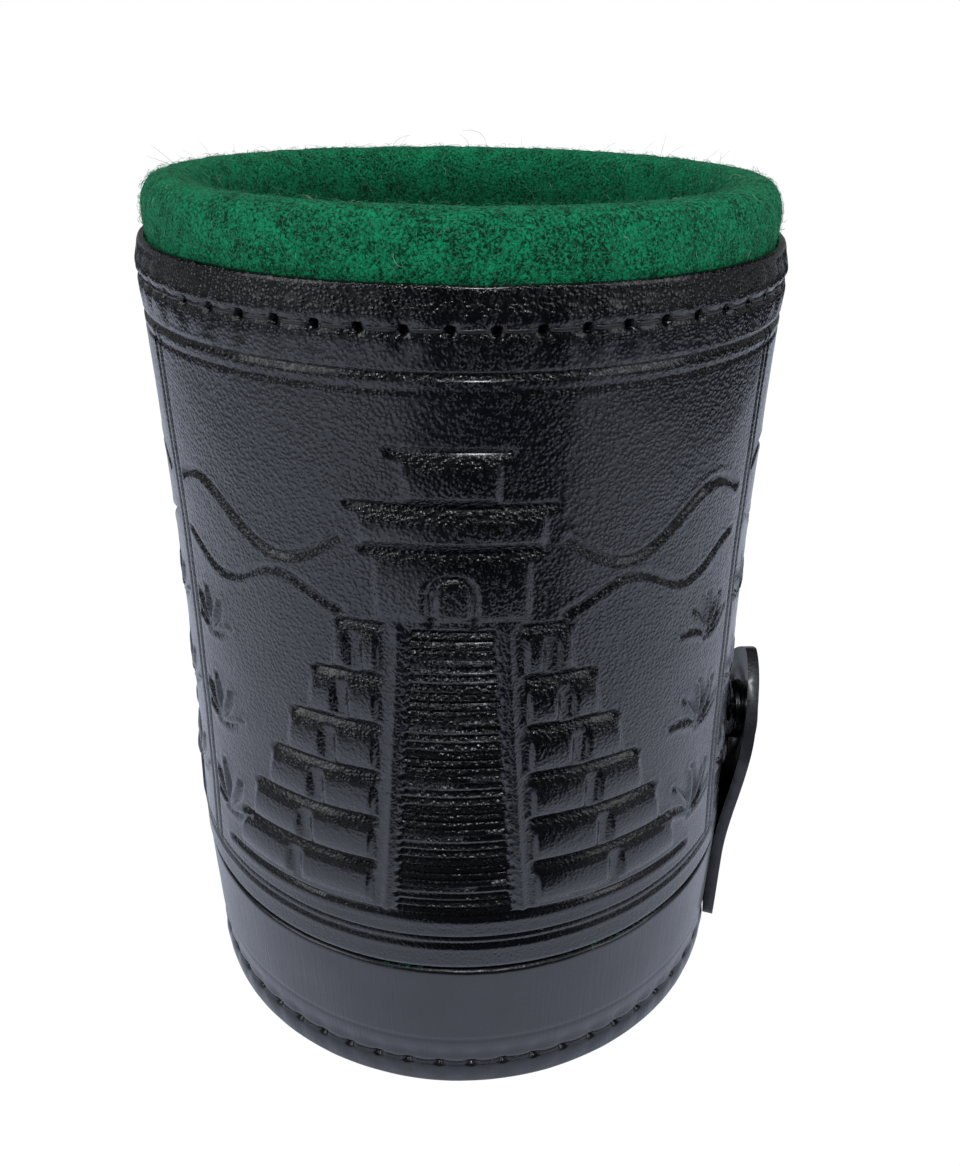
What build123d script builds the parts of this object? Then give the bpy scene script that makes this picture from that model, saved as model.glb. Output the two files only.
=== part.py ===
# Leather dice cup with a felt lining and a hinged dice compartment under it.
# Frame: +Z up, origin at the centre of the resting face, closing strap towards +X,
# hinge towards -X. Millimetres.
from build123d import *
import math
import os

# ---- driving dimensions ----------------------------------------------------------------
# cup wall
cup_height = 120.0          # resting face to the top of the rolled felt rim
rim_rise = 6.5              # how far the rolled felt stands above the leather
leather_top = cup_height - rim_rise  # top cut edge of the outer leather
waist_radius = 40.9         # outer radius of the leather in its straight upper part
foot_flare = 2.06           # how much wider the leather is at its lower edge
waist_z = 0.65 * cup_height  # height under which the leather flares
mouth_flare = 0.5           # how much wider the leather is at its top edge
mouth_z = leather_top - 18.5  # height above which it widens again

# materials
leather = 1.8               # outer leather, lid leather and closing strap
hinge_leather = 1.0         # skived leather of the hinge
board = 1.5                 # stiffening board of walls and base
partition_board = 2.4       # board between the cup and the dice compartment
felt = 3.2                  # wool felt of the cup
thin_felt = 2.4             # wool felt of the dice compartment
thread = 0.8                # diameter of the waxed thread

# lid, which is the dice compartment
lid_height = 24.0           # height of the joint between the lid and the cup
lid_gap = 0.8               # open line between the two leathers at that joint
lid_step = 1.72             # outer radius of the lid at the resting face beyond the waist's
lid_taper = 0.009           # outward lean of the lid wall
base_turn_up = 8.0          # height of the base leather's turned-up edge
base_corner = 2.6           # outer corner radius of the base leather

# seams
top_seam_z = leather_top - 4.2
base_seam_z = 4.3
back_seam_inset = 9.0       # distance of the back seam's ends from the leather's edges
stitch_pitch = 4.6
stitch_length = 3.3
groove_depth = 0.5

# rolled rim
roll_width = 6.4            # felt folded double
roll_inner_drop = 17.0      # how far the roll reaches down inside
fold_end_z = leather_top - 9  # lower end of the outer fold

# closing strap
strap_width = 24.0
strap_top = 49.6
strap_bottom = 2.4
strap_stand_off = 2.1       # how far the free end leans out
strap_lean_low = 16.0       # where it starts to lean out
strap_lean_high = 40.0      # where it stands upright again
strap_corner = 4.0
strap_seam_z = 18.0
flex_gap = 0.4

# snap fastener
snap_z = 38.0
stud_head_radius = 1.9
stud_flange_radius = 4.0
stud_flange = 0.5
stud_head = 0.95
socket_radius = 4.8
socket_proud = 0.9
cap_radius = 6.0
cap_dome = 1.1
snap_recess = 0.4
post_radius = 1.2
post_flange_radius = 3.2
post_wall = 0.8             # outer radius of the cap's post beyond the stud's head

# hinge
hinge_width = 12.0
hinge_reach = 15.0          # how far each leaf reaches from the joint
hinge_seam_inset = 2.2

# clearances
nest_gap = 0.2              # between nested curved layers
slot_gap = 0.1              # around a stitch, post or flange in its seat
rest_gap = 0.3              # between snap halves at rest, and above the lid's lining
ceiling_play = 1.0          # between the ceiling felt and the lid's leather


# ---- shared geometry -------------------------------------------------------------------
cup_low = lid_height + lid_gap / 2
lid_top = lid_height - lid_gap / 2
core_depth = leather + nest_gap
lining_depth = core_depth + board + nest_gap
partition_low = cup_low
partition_top = partition_low + partition_board
ceiling_low = partition_low - thin_felt


def wall(z):
    """Outer radius of the cup's leather at height z."""
    flare = max(0.0, (waist_z - z) / (waist_z - cup_low)) ** 1.5
    mouth = max(0.0, (z - mouth_z) / (leather_top - mouth_z)) ** 2
    return waist_radius + foot_flare * flare + mouth_flare * mouth


def lid_wall(z):
    """Outer radius of the lid's leather at height z."""
    return waist_radius + lid_step + lid_taper * z


def strap_face(z):
    """Outer radius of the closing strap at height z."""
    lean = min(1.0, max(0.0, (z - strap_lean_low) / (strap_lean_high - strap_lean_low)))
    ease = lean * lean * (3 - 2 * lean)
    return lid_wall(strap_lean_low) + nest_gap + leather + strap_stand_off * ease


WALL_SPAN = {wall: (lid_height, leather_top), lid_wall: (0.0, lid_height), strap_face: (strap_bottom, strap_top)}
WALL_SAMPLES = 12


def height_parameter(line, z):
    """Where along a rising line its height is z, from 0 to 1."""
    low, high = 0.0, 1.0
    for _ in range(40):
        middle = (low + high) / 2
        if (line @ middle).Z < z:
            low = middle
        else:
            high = middle
    return low


def curve(radius_at, z_low, z_high, depth=0.0):
    """A line in the XZ plane, depth mm inside a wall. Every layer of one wall is cut from the same line."""
    base, top = WALL_SPAN[radius_at]
    heights = [base + (top - base) * i / WALL_SAMPLES for i in range(WALL_SAMPLES + 1)]
    line = Spline([(radius_at(z) - depth, 0, z) for z in heights])
    if z_low > base:
        line = line.trim(height_parameter(line, z_low), 1)
    if z_high < top:
        line = line.trim(0, height_parameter(line, z_high))
    return line


def between(outer, inner):
    """The face between an outer and an inner line that run the same way."""
    low = Line(outer @ 0, inner @ 0)
    high = Line(outer @ 1, inner @ 1)
    return make_face(Curve() + [outer, low, inner, high])


def tube(radius_at, outer_depth, inner_depth, z_low, z_high):
    """A closed tube between two depths under a wall."""
    outer = curve(radius_at, z_low, z_high, outer_depth)
    inner = curve(radius_at, z_low, z_high, inner_depth)
    return revolve(between(outer, inner), Axis.Z)


def disc(radius, z_low, z_high):
    """A flat disc on the cup's axis."""
    return Pos(0, 0, z_low) * Cylinder(radius, z_high - z_low, align=(Align.CENTER, Align.CENTER, Align.MIN))


def groove(radius, z):
    """A ring to cut, in which a row of stitches lies."""
    width = thread + 4 * slot_gap
    outer = Cylinder(radius + 1, width)
    return Pos(0, 0, z) * (outer - Cylinder(radius - groove_depth, width))


def rod_x(radius, x_low, x_high, z):
    """A round bar along X at the middle of the strap."""
    return Pos(x_low, 0, z) * Rot(0, 90, 0) * Cylinder(
        radius, x_high - x_low, align=(Align.CENTER, Align.CENTER, Align.MIN))


def ring_stitches(radius, z, count, first=0.0, keep=lambda angle: True, lift=0.0):
    """Stitches in a row around the axis, each a short bar along the tangent."""
    row = []
    for i in range(count):
        angle = first + 360.0 * i / count
        if keep(angle % 360):
            bar = Rot(90, 0, 0) * Cylinder(thread / 2 + lift, stitch_length + 2 * lift)
            row.append(Rot(0, 0, angle) * Pos(radius, 0, z) * bar)
    return row


def upright_stitches(radius_at, angle, heights, lift=0.0):
    """Stitches in a row that climbs the wall at one angle."""
    row = []
    for z in heights:
        bar = Cylinder(thread / 2 + lift, stitch_length + 2 * lift)
        row.append(Rot(0, 0, angle) * Pos(radius_at(z), 0, z) * bar)
    return row


def save(name, shape):
    """Write one piece, or one group of like pieces, to its own file."""
    if isinstance(shape, list):
        shape = Compound(children=shape)
    export_step(shape, f"parts/{name}.step")


os.makedirs("parts", exist_ok=True)


# ---- places of seams and of the snap ---------------------------------------------------
sink = 0.05                                    # thread axis under the leather's face
top_count = round(2 * math.pi * wall(top_seam_z) / stitch_pitch)
base_count = round(2 * math.pi * lid_wall(base_seam_z) / stitch_pitch)
strap_half_angle = math.degrees(math.asin(strap_width / 2 / strap_face(strap_bottom)))

stud_seat = wall(snap_z) - 0.25                # flat floor of the stud's recess
stud_top = stud_seat + stud_flange + stud_head
socket_rim = stud_top + rest_gap
strap_inner = strap_face(snap_z) - leather
socket_seat = socket_rim + socket_proud
cap_seat = strap_face(snap_z) - snap_recess
post_tail = wall(snap_z - post_flange_radius) - lining_depth + nest_gap

hinge_axis_x = -(wall(cup_low) + nest_gap + hinge_leather)
flex_axis_x = strap_face(lid_height)
print(f"lid hinge axis at x {hinge_axis_x:.3f}, z {lid_height:.2f}")
print(f"strap flex axis at x {flex_axis_x:.3f}, z {lid_height:.2f}")
print(f"{top_count} stitches in the top seam, {base_count} in the base seam")


# ---- cup -------------------------------------------------------------------------------
back_rise = leather_top - cup_low - 2 * back_seam_inset
back_count = int(back_rise / stitch_pitch)
back_heights = [cup_low + back_seam_inset + back_rise * (i + 0.5) / back_count for i in range(back_count)]


def outer_leather():
    shape = tube(wall, 0, leather, cup_low, leather_top)
    shape -= groove(wall(top_seam_z), top_seam_z)
    for bar in upright_stitches(lambda z: wall(z) - sink, 90, back_heights, slot_gap):
        shape -= bar
    shape -= rod_x(stud_flange_radius + slot_gap, stud_seat, stud_seat + 5, snap_z)
    shape -= rod_x(post_radius + slot_gap, waist_radius - 10, stud_seat + 5, snap_z)
    return shape


def stiffening_tube():
    shape = tube(wall, core_depth, core_depth + board, partition_top, fold_end_z - nest_gap)
    shape -= rod_x(post_radius + slot_gap, waist_radius - 10, stud_seat, snap_z)
    shape -= rod_x(post_flange_radius + slot_gap, waist_radius - 10, post_tail + stud_flange + slot_gap, snap_z)
    return shape


def lining():
    """Felt that lines the wall, rolls over the rim and ends in an outer fold."""
    inner_low = cup_height - roll_inner_drop
    outer_wall = curve(wall, partition_top, fold_end_z, lining_depth)
    inner_wall = curve(wall, partition_top, inner_low, lining_depth + felt)
    fold = curve(wall, fold_end_z, leather_top, core_depth)
    edge = fold @ 1
    inner_r = (inner_wall @ 1).X
    roll_r = edge.X - roll_width
    middle = edge.X - roll_width / 2
    roll_height = cup_height - leather_top
    shoulder = cup_height - 0.14 * roll_height
    roll = Spline([
        edge,
        (edge.X + 0.25, 0, leather_top + 0.5 * roll_height),
        (middle + 0.33 * roll_width, 0, shoulder),
        (middle, 0, cup_height),
        (middle - 0.33 * roll_width, 0, shoulder),
        (roll_r, 0, leather_top + 0.42 * roll_height),
        (roll_r + 0.35 * (inner_r - roll_r), 0, leather_top - 0.55 * roll_height),
        inner_wall @ 1,
    ])
    step = Line(outer_wall @ 1, fold @ 0)
    foot = Line(outer_wall @ 0, inner_wall @ 0)
    return revolve(make_face(Curve() + [outer_wall, step, fold, roll, inner_wall, foot]), Axis.Z)


save("outer_leather", outer_leather())
save("stiffening_tube", stiffening_tube())
save("felt_lining", lining())
floor_felt_radius = wall(partition_top + felt) - lining_depth - felt - nest_gap
save("floor_felt", disc(floor_felt_radius, partition_top, partition_top + felt))
save("partition_board", disc(wall(partition_top) - core_depth, partition_low, partition_top))
ceiling_radius = lid_wall(ceiling_low) - leather - ceiling_play
save("compartment_ceiling_felt", disc(ceiling_radius, ceiling_low, partition_low))
save("top_seam_thread", ring_stitches(wall(top_seam_z) - sink, top_seam_z, top_count, 180 / top_count))
save("back_seam_thread", upright_stitches(lambda z: wall(z) - sink, 90, back_heights))


# ---- lid -------------------------------------------------------------------------------
dish_radius = lid_wall(0) - leather - nest_gap
dish_inner = dish_radius - leather
dish_floor = leather
board_top = dish_floor + board
felt_top = board_top + thin_felt


def under_strap(angle):
    return min(angle, 360 - angle) < strap_half_angle + 1.5


def lid_leather():
    shape = tube(lid_wall, 0, leather, 0, lid_top)
    shape -= groove(lid_wall(base_seam_z), base_seam_z)
    return shape


def base_leather():
    """A dish of leather with its edge turned up inside the lid's wall."""
    shape = disc(dish_radius, 0, base_turn_up)
    low_edge = shape.edges().filter_by(GeomType.CIRCLE).sort_by(Axis.Z)[0]
    shape = fillet(low_edge, base_corner)
    hollow = disc(dish_inner, dish_floor, base_turn_up + 1)
    low_edge = hollow.edges().filter_by(GeomType.CIRCLE).sort_by(Axis.Z)[0]
    return shape - fillet(low_edge, max(0.2, base_corner - leather))


save("lid_leather", lid_leather())
save("base_leather", base_leather())
save("base_board", disc(dish_inner - max(nest_gap, base_corner - leather), dish_floor, board_top))
save("lid_stiffening_ring", tube(
    lid_wall, core_depth, core_depth + board, base_turn_up, ceiling_low - rest_gap))
wall_felt_radius = dish_inner - nest_gap
save("compartment_floor_felt", disc(wall_felt_radius, board_top, felt_top))
save("compartment_wall_felt", disc(wall_felt_radius, felt_top, ceiling_low - rest_gap)
     - disc(wall_felt_radius - thin_felt, felt_top, ceiling_low))

save("base_seam_thread",
     ring_stitches(lid_wall(base_seam_z) - sink, base_seam_z, base_count, 180 / base_count,
                   lambda a: not under_strap(a)))


# ---- closing strap ---------------------------------------------------------------------
def strap_blank():
    """The strap's whole leather, as it leans, with rounded ends."""
    outer = curve(strap_face, strap_bottom, strap_top)
    inner = curve(strap_face, strap_bottom, strap_top, leather)
    band = Rot(0, 0, -30) * revolve(between(outer, inner), Axis.Z, 60)
    half = strap_width / 2
    straight = Rectangle(strap_width, strap_top - half - strap_bottom,
                         align=(Align.CENTER, Align.MIN))
    straight = fillet(straight.vertices().group_by(Axis.Y)[0], strap_corner)
    top = Pos(0, strap_top - half - strap_bottom) * Circle(half)
    outline = extrude(straight + top, 80)
    place = Plane(origin=(0, 0, strap_bottom), x_dir=(0, 1, 0), z_dir=(1, 0, 0))
    return band & (place * outline)


def strap_stitches(lift=0.0):
    """The base seam runs over the strap's lower end, and a second row holds it higher up."""
    low_r = strap_face(base_seam_z) - sink
    low = ring_stitches(low_r, base_seam_z, base_count, 180 / base_count,
                        lambda a: min(a, 360 - a) < strap_half_angle - 4, lift)
    high_r = strap_face(strap_seam_z) - sink
    high = ring_stitches(high_r, strap_seam_z, base_count, 180 / base_count,
                         lambda a: min(a, 360 - a) < strap_half_angle - 4, lift)
    return low + high


def strap_root(blank):
    shape = blank & (Pos(40, 0, strap_bottom) * Box(
        40, 40, lid_height - strap_bottom, align=(Align.CENTER, Align.CENTER, Align.MIN)))
    for bar in strap_stitches(slot_gap):
        shape -= bar
    return shape


def strap_flap(blank):
    shape = blank & (Pos(40, 0, lid_height + flex_gap) * Box(
        40, 40, strap_top, align=(Align.CENTER, Align.CENTER, Align.MIN)))
    shape -= rod_x(cap_radius + slot_gap, cap_seat, cap_seat + 5, snap_z)
    shape -= rod_x(socket_radius + slot_gap, socket_seat - 5, socket_seat, snap_z)
    shape -= rod_x(stud_head_radius + post_wall + slot_gap, socket_seat - 5, cap_seat + 5, snap_z)
    return shape


blank = strap_blank()
save("strap_root", strap_root(blank))
save("closing_strap", strap_flap(blank))
save("strap_thread", strap_stitches())


# ---- snap fastener ---------------------------------------------------------------------
def snap_stud():
    flange = rod_x(stud_flange_radius, stud_seat, stud_seat + stud_flange, snap_z)
    head = rod_x(stud_head_radius, stud_seat + stud_flange, stud_top, snap_z)
    head = fillet(head.edges().filter_by(GeomType.CIRCLE).sort_by(Axis.X)[-1], 0.3)
    return flange + head


def stud_rivet():
    shank = rod_x(post_radius, post_tail, stud_seat, snap_z)
    return shank + rod_x(post_flange_radius, post_tail, post_tail + stud_flange, snap_z)


def snap_socket():
    ring = rod_x(socket_radius, socket_rim, socket_seat, snap_z)
    ring = fillet(ring.edges().filter_by(GeomType.CIRCLE).sort_by(Axis.X)[0], 0.3)
    return ring - rod_x(stud_head_radius + rest_gap, socket_rim - 1, socket_seat + 1, snap_z)


def snap_cap():
    """A domed button with a tubular post that holds the socket through the strap."""
    button = rod_x(cap_radius, cap_seat, cap_seat + snap_recess + cap_dome, snap_z)
    rim = button.edges().filter_by(GeomType.CIRCLE).sort_by(Axis.X)[-1]
    button = fillet(rim, 0.95 * cap_dome)
    post = rod_x(stud_head_radius + post_wall, socket_seat, cap_seat, snap_z)
    post -= rod_x(stud_head_radius + rest_gap, socket_seat - 1, cap_seat, snap_z)
    return button + post


save("snap_stud", snap_stud())
save("stud_rivet", stud_rivet())
save("snap_socket", snap_socket())
save("snap_cap", snap_cap())


# ---- hinge -----------------------------------------------------------------------------
def hinge_half_angle():
    return math.degrees(math.asin(hinge_width / 2 / wall(cup_low)))


def hinge_heights(z_low, z_high):
    count = max(1, int((z_high - z_low) / stitch_pitch))
    return [z_low + (z_high - z_low) * (i + 0.5) / count for i in range(count)]


def leaf(radius_at, z_low, z_high):
    """One leaf of the hinge leather, lying on the wall."""
    outer = curve(radius_at, z_low, z_high, -(nest_gap + hinge_leather))
    inner = curve(radius_at, z_low, z_high, -nest_gap)
    turn = 180 - hinge_half_angle()
    return Rot(0, 0, turn) * revolve(between(outer, inner), Axis.Z, 2 * hinge_half_angle())


def leaf_stitches(radius_at, z_low, z_high, lift=0.0):
    face = nest_gap + hinge_leather - sink
    inset = math.degrees(hinge_seam_inset / radius_at(z_low))
    rows = []
    for side in (-1, 1):
        angle = 180 + side * (hinge_half_angle() - inset)
        rows += upright_stitches(lambda z: radius_at(z) + face, angle, hinge_heights(z_low, z_high), lift)
    return rows


def hinge_leaf(name, radius_at, z_low, z_high):
    shape = leaf(radius_at, z_low, z_high)
    seam_low = z_low + hinge_seam_inset
    seam_high = z_high - hinge_seam_inset
    for bar in leaf_stitches(radius_at, seam_low, seam_high, slot_gap):
        shape -= bar
    save(f"hinge_{name}", shape)
    save(f"hinge_{name}_thread", leaf_stitches(radius_at, seam_low, seam_high))


hinge_leaf("upper_leaf", wall, lid_height + slot_gap, lid_height + hinge_reach)
hinge_leaf("lower_leaf", lid_wall, lid_height - hinge_reach, lid_height - slot_gap)
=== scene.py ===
# %% [markdown]
# # A leather dice cup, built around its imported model
# The cup is a leather tube over board, lined with thick green felt that rolls over the rim. Under it
# hangs a shallow leather lid that holds five dice and closes with a snap strap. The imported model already
# has every part at its true size and place, so this file only adds the looks: the embossing, the
# stitches, the nap and the finishes.

# %% Load the frame
import bpy
import math
import numpy as np
from mathutils import Matrix, Vector


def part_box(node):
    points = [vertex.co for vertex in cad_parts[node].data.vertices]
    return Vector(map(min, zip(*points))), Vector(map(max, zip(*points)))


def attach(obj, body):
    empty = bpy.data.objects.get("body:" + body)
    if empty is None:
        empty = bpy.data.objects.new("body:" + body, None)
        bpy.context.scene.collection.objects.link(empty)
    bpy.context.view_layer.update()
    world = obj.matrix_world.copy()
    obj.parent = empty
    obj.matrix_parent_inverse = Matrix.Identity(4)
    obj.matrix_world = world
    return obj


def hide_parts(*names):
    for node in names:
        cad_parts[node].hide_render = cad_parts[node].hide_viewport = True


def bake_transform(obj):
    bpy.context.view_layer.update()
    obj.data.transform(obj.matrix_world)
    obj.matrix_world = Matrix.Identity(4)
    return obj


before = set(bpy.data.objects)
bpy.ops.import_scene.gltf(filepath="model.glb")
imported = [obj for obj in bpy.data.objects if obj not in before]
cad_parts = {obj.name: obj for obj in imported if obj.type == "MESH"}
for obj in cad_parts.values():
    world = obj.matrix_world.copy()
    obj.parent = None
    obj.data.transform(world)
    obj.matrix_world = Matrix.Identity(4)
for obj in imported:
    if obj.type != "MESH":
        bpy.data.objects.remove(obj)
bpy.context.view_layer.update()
MM = 0.001

# %% [markdown]
# Every size below is in millimetres and repeats the design's own rules. The wall of the cup is nearly
# straight above its waist and flares below it, so a short formula gives its outer radius at any height.

# %% Sizes of the cup
LEATHER_TOP = 113.5
CUP_LOW = 24.4
LID_TOP = 23.6
LEATHER = 1.8
TOP_SEAM = 109.3
BASE_SEAM = 4.3


def wall(z):
    """Outer radius of the cup's leather at height z."""
    flare = np.clip((78.0 - z) / (78.0 - CUP_LOW), 0, None) ** 1.5
    mouth = np.clip((z - 95.0) / (LEATHER_TOP - 95.0), 0, None) ** 2
    return 40.9 + 2.06 * flare + 0.5 * mouth


def lid_wall(z):
    """Outer radius of the lid's leather at height z."""
    return 42.62 + 0.009 * z


def ease(t):
    """Smooth step from 0 to 1."""
    t = np.clip(t, 0, 1)
    return t * t * (3 - 2 * t)


print("radius at the waist", wall(78.0), "at the foot", round(float(wall(CUP_LOW)), 2))

# %% [markdown]
# Most parts here are sheets bent round an axis: leather, felt, straps. A flat grid is added as a
# primitive and each of its vertices is then moved to its place on the bent sheet. That keeps the rows and
# columns where the detail needs them, and one helper serves every sheet.

# %% Helpers for modelling
def clear_selection():
    """Back to object mode with nothing selected, so that an operator touches only what comes next."""
    if bpy.context.mode != "OBJECT":
        bpy.ops.object.mode_set(mode="OBJECT")
    bpy.ops.object.select_all(action="DESELECT")


def make_active(piece):
    clear_selection()
    piece.select_set(True)
    bpy.context.view_layer.objects.active = piece


def read_points(piece):
    points = np.empty(len(piece.data.vertices) * 3)
    piece.data.vertices.foreach_get("co", points)
    return points.reshape(-1, 3)


def write_points(piece, points):
    piece.data.vertices.foreach_set("co", np.asarray(points, float).ravel())
    piece.data.update()


def tidy_mesh(piece, merge=0.004, angle=40):
    """Weld what meets, close rings that are open, turn the faces outward and shade them smooth."""
    make_active(piece)
    bpy.ops.object.mode_set(mode="EDIT")
    bpy.ops.mesh.select_all(action="SELECT")
    bpy.ops.mesh.remove_doubles(threshold=merge * MM)
    bpy.ops.mesh.fill_holes(sides=0)
    bpy.ops.mesh.normals_make_consistent(inside=False)
    bpy.ops.object.mode_set(mode="OBJECT")
    bpy.ops.object.shade_smooth_by_angle(angle=math.radians(angle))
    return piece


def bent_grid(name, columns, rows, place, merge=0.004, angle=40):
    """A flat grid whose vertices move to place(column, row), in millimetres, counted from 0."""
    clear_selection()
    bpy.ops.mesh.primitive_grid_add(x_subdivisions=columns, y_subdivisions=rows, size=1)
    piece = bpy.context.object
    piece.name = piece.data.name = name
    flat = read_points(piece) + 0.5
    column = np.rint(flat[:, 0] * columns).astype(int)
    row = np.rint(flat[:, 1] * rows).astype(int)
    write_points(piece, place(column, row) * MM)
    return tidy_mesh(piece, merge, angle)


print("a grid helper is ready for every bent sheet")

# %% [markdown]
# Three more helpers follow. One applies a modifier as soon as it is added, one turns an angle round the
# cup into a place, and one gives the slight unevenness that leather and felt have.

# %% Helpers for places and unevenness
def apply_modifier(piece, kind, **settings):
    make_active(piece)
    modifier = piece.modifiers.new(kind.title(), kind)
    for key, value in settings.items():
        setattr(modifier, key, value)
    bpy.ops.object.modifier_apply(modifier=modifier.name)


def polar(radius, angle, z):
    """Points at an angle round the cup, in degrees from the front towards the strap."""
    turn = np.radians(angle)
    return np.stack([radius * np.sin(turn), -radius * np.cos(turn), z + 0 * turn], axis=-1)


def noise(points, size, seed):
    """Soft random unevenness between -1 and 1, with lumps of about the given size in millimetres."""
    lattice = np.random.default_rng(seed).uniform(-1, 1, (48, 48, 48))
    scaled = points / size + 1000.37
    cell = np.floor(scaled).astype(int)
    share = scaled - cell
    share = share * share * (3 - 2 * share)
    total = np.zeros(len(points))
    for corner in np.ndindex(2, 2, 2):
        weight = np.prod(np.where(corner, share, 1 - share), axis=1)
        index = (cell + corner) % 48
        total += weight * lattice[index[:, 0], index[:, 1], index[:, 2]]
    return total


print("unevenness at the cup's foot", round(float(noise(np.zeros((1, 3)), 6, 4)[0]), 2))

# %% [markdown]
# The embossing is real relief, so that it holds in any light. Each line of the picture is a short list of
# points, given as the distance along the wall from the middle of the front and the height, with a width
# and a depth. A pressed line is a rounded channel with a faint raised lip on each side, because leather
# that is pushed down swells beside the tool.

# %% Lines of the embossed picture
PANELS = 3
PANEL_MIDDLE = 1.6
ROUND = 2 * math.pi * 41.0
PANEL_WIDTH = ROUND / PANELS
LINES = []
PLATES = []


def line(points, width=0.42, depth=0.34):
    LINES.append((np.array(points, float), width, depth))


def raised(points, width=0.5, height=0.2):
    LINES.append((np.array(points, float), width, -height))


def leaf(x, z, length, width, lean):
    """A pointed leaf: a raised body with one bowed side cut."""
    t = np.linspace(-1, 1, 9)
    bow = width / 2 * (1 - t ** 2)
    turn = math.radians(lean)
    along = np.array([math.cos(turn), math.sin(turn)])
    across = np.array([-along[1], along[0]])
    middle = np.array([x, z]) + np.outer(t * length / 2, along)
    line(middle - np.outer(bow, across), 0.36, 0.26)
    raised(middle[1:-1], 0.5 * width, 0.22)


def plate(corners, foot, head):
    """A flat stone face that stands out by foot mm at its lower edge and head mm at its upper edge."""
    PLATES.append((np.array(corners, float), foot, head))


print("each panel is", round(PANEL_WIDTH, 1), "mm wide")

# %% [markdown]
# The picture is a plain, symmetrical one of our own: a stepped mound with a stair up its middle, a small
# house on top, rolling hills behind it and a fan of leaves at each side. It is worked out from a few
# regular numbers, so another maker can change them. The stones lean out towards their foot, and so they
# are raised faces between pressed lines.

# %% Stepped mound and its stair
TIERS = 6
TIER_RISE = 7.0
GROUND = 34.0
STEPS = 36


def stair_edge(z):
    """Half the stair's width in mm at height z."""
    return 8.0 - 0.06 * (z - GROUND)


def tier_edge(z):
    """Half the mound's width in mm at height z."""
    return 33.0 - 0.52 * (z - GROUND)


MOUND_TOP = GROUND + TIERS * TIER_RISE
for tier in range(TIERS):
    foot_z = GROUND + TIER_RISE * tier
    head_z = foot_z + TIER_RISE
    for side in (-1, 1):
        inner = side * (stair_edge(foot_z) + 2.2)
        outer = side * tier_edge(foot_z)
        middle = (inner + outer) / 2
        line([(inner, head_z), (outer - side * 1.8, head_z)], 0.55, 0.44)
        for start, end in [(inner, middle - side * 0.5), (middle + side * 0.5, outer)]:
            lean_in = side * 0.8 if end == outer else 0.0
            corners = [(start, foot_z + 0.7), (start, head_z - 0.7),
                       (end - lean_in, head_z - 0.7), (end, foot_z + 0.7)]
            plate(corners, 0.26, 0.03)
for step in range(STEPS):
    z = GROUND + 0.6 + step * (MOUND_TOP - GROUND - 1.0) / (STEPS - 1)
    reach = stair_edge(z) - 0.9
    wobble = 0.2 * math.sin(2.4 * step)
    line([(-reach + wobble, z), (reach + wobble, z + 0.05)], 0.3, 0.36 + 0.05 * math.sin(1.7 * step))
for side in (-1, 1):
    rail = [(side * (stair_edge(z) + 0.8), z) for z in (GROUND, MOUND_TOP)]
    raised(rail, 0.55, 0.24)
line([(-36, GROUND - 1), (-12, GROUND - 0.6), (12, GROUND - 0.6), (36, GROUND - 1)], 0.5, 0.4)
print(len(LINES), "lines and", len(PLATES), "stone faces in the mound")

# %% [markdown]
# The house is three stacked blocks with a doorway. The hills are two sine waves of different length, and
# each leaf of a fan is the same leaf turned by an equal angle.

# %% House, hills and plants
for low, high, half in [(77.0, 85.0, 9.0), (86.2, 90.2, 10.5), (91.4, 96.4, 5.5)]:
    plate([(-half, low), (-half, high), (half, high), (half, low)], 0.2, 0.05)
    line([(-half - 0.8, high + 0.6), (half + 0.8, high + 0.6)], 0.42, 0.34)
line([(-2.4, 77), (-2.4, 82.6), (2.4, 82.6), (2.4, 77)], 0.45, 0.4)
for side in (-1, 1):
    reach = np.linspace(13, 40.5, 14)
    line(np.stack([side * reach, 86 + 3.2 * np.sin(reach / 4.4)], axis=1), 0.5, 0.36)
    line(np.stack([side * reach, 79 + 1.8 * np.sin(reach / 3.1 + 1)], axis=1), 0.4, 0.28)
    for root_z, size in [(38.0, 8.0), (53.0, 7.0), (67.0, 6.0)]:
        for turn in range(-2, 3):
            lean = math.radians(90 + 34 * turn)
            leaf(side * 36.4 + 0.55 * size * math.cos(lean) * 0.8, root_z + 0.55 * size * math.sin(lean),
                 size, 0.24 * size, math.degrees(lean))
print(len(LINES), "lines and", len(PLATES), "raised faces in the whole picture")

# %% [markdown]
# The relief is worked out once as a height map over one panel of the wall. For every line, the distance
# from each vertex to the line is measured, and the channel's profile is laid at that distance. Where
# channels cross, the deeper one wins, as it does under a real tool.

# %% Height of the embossing
def distance_to(points, s, z):
    """Distance from every (s, z) to a polyline, measured only near it, and infinite elsewhere."""
    nearest = np.full(s.shape, np.inf)
    for a, b in zip(points[:-1], points[1:]):
        low, high = np.minimum(a, b) - 1.6, np.maximum(a, b) + 1.6
        near = (s > low[0]) & (s < high[0]) & (z > low[1]) & (z < high[1])
        along = b - a
        share = ((s[near] - a[0]) * along[0] + (z[near] - a[1]) * along[1]) / max(along @ along, 1e-9)
        share = np.clip(share, 0, 1)
        gap = np.hypot(s[near] - a[0] - share * along[0], z[near] - a[1] - share * along[1])
        nearest[near] = np.minimum(nearest[near], gap)
    return nearest


def smooth_line(points):
    """More points on the same path, with its corners eased, as a hand-carved tool has them."""
    if len(points) < 3:
        return points
    for _ in range(2):
        cut = np.empty((2 * len(points) - 2, 2))
        cut[0::2] = 0.78 * points[:-1] + 0.22 * points[1:]
        cut[1::2] = 0.22 * points[:-1] + 0.78 * points[1:]
        points = np.vstack([points[:1], cut, points[-1:]])
    return points


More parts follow.
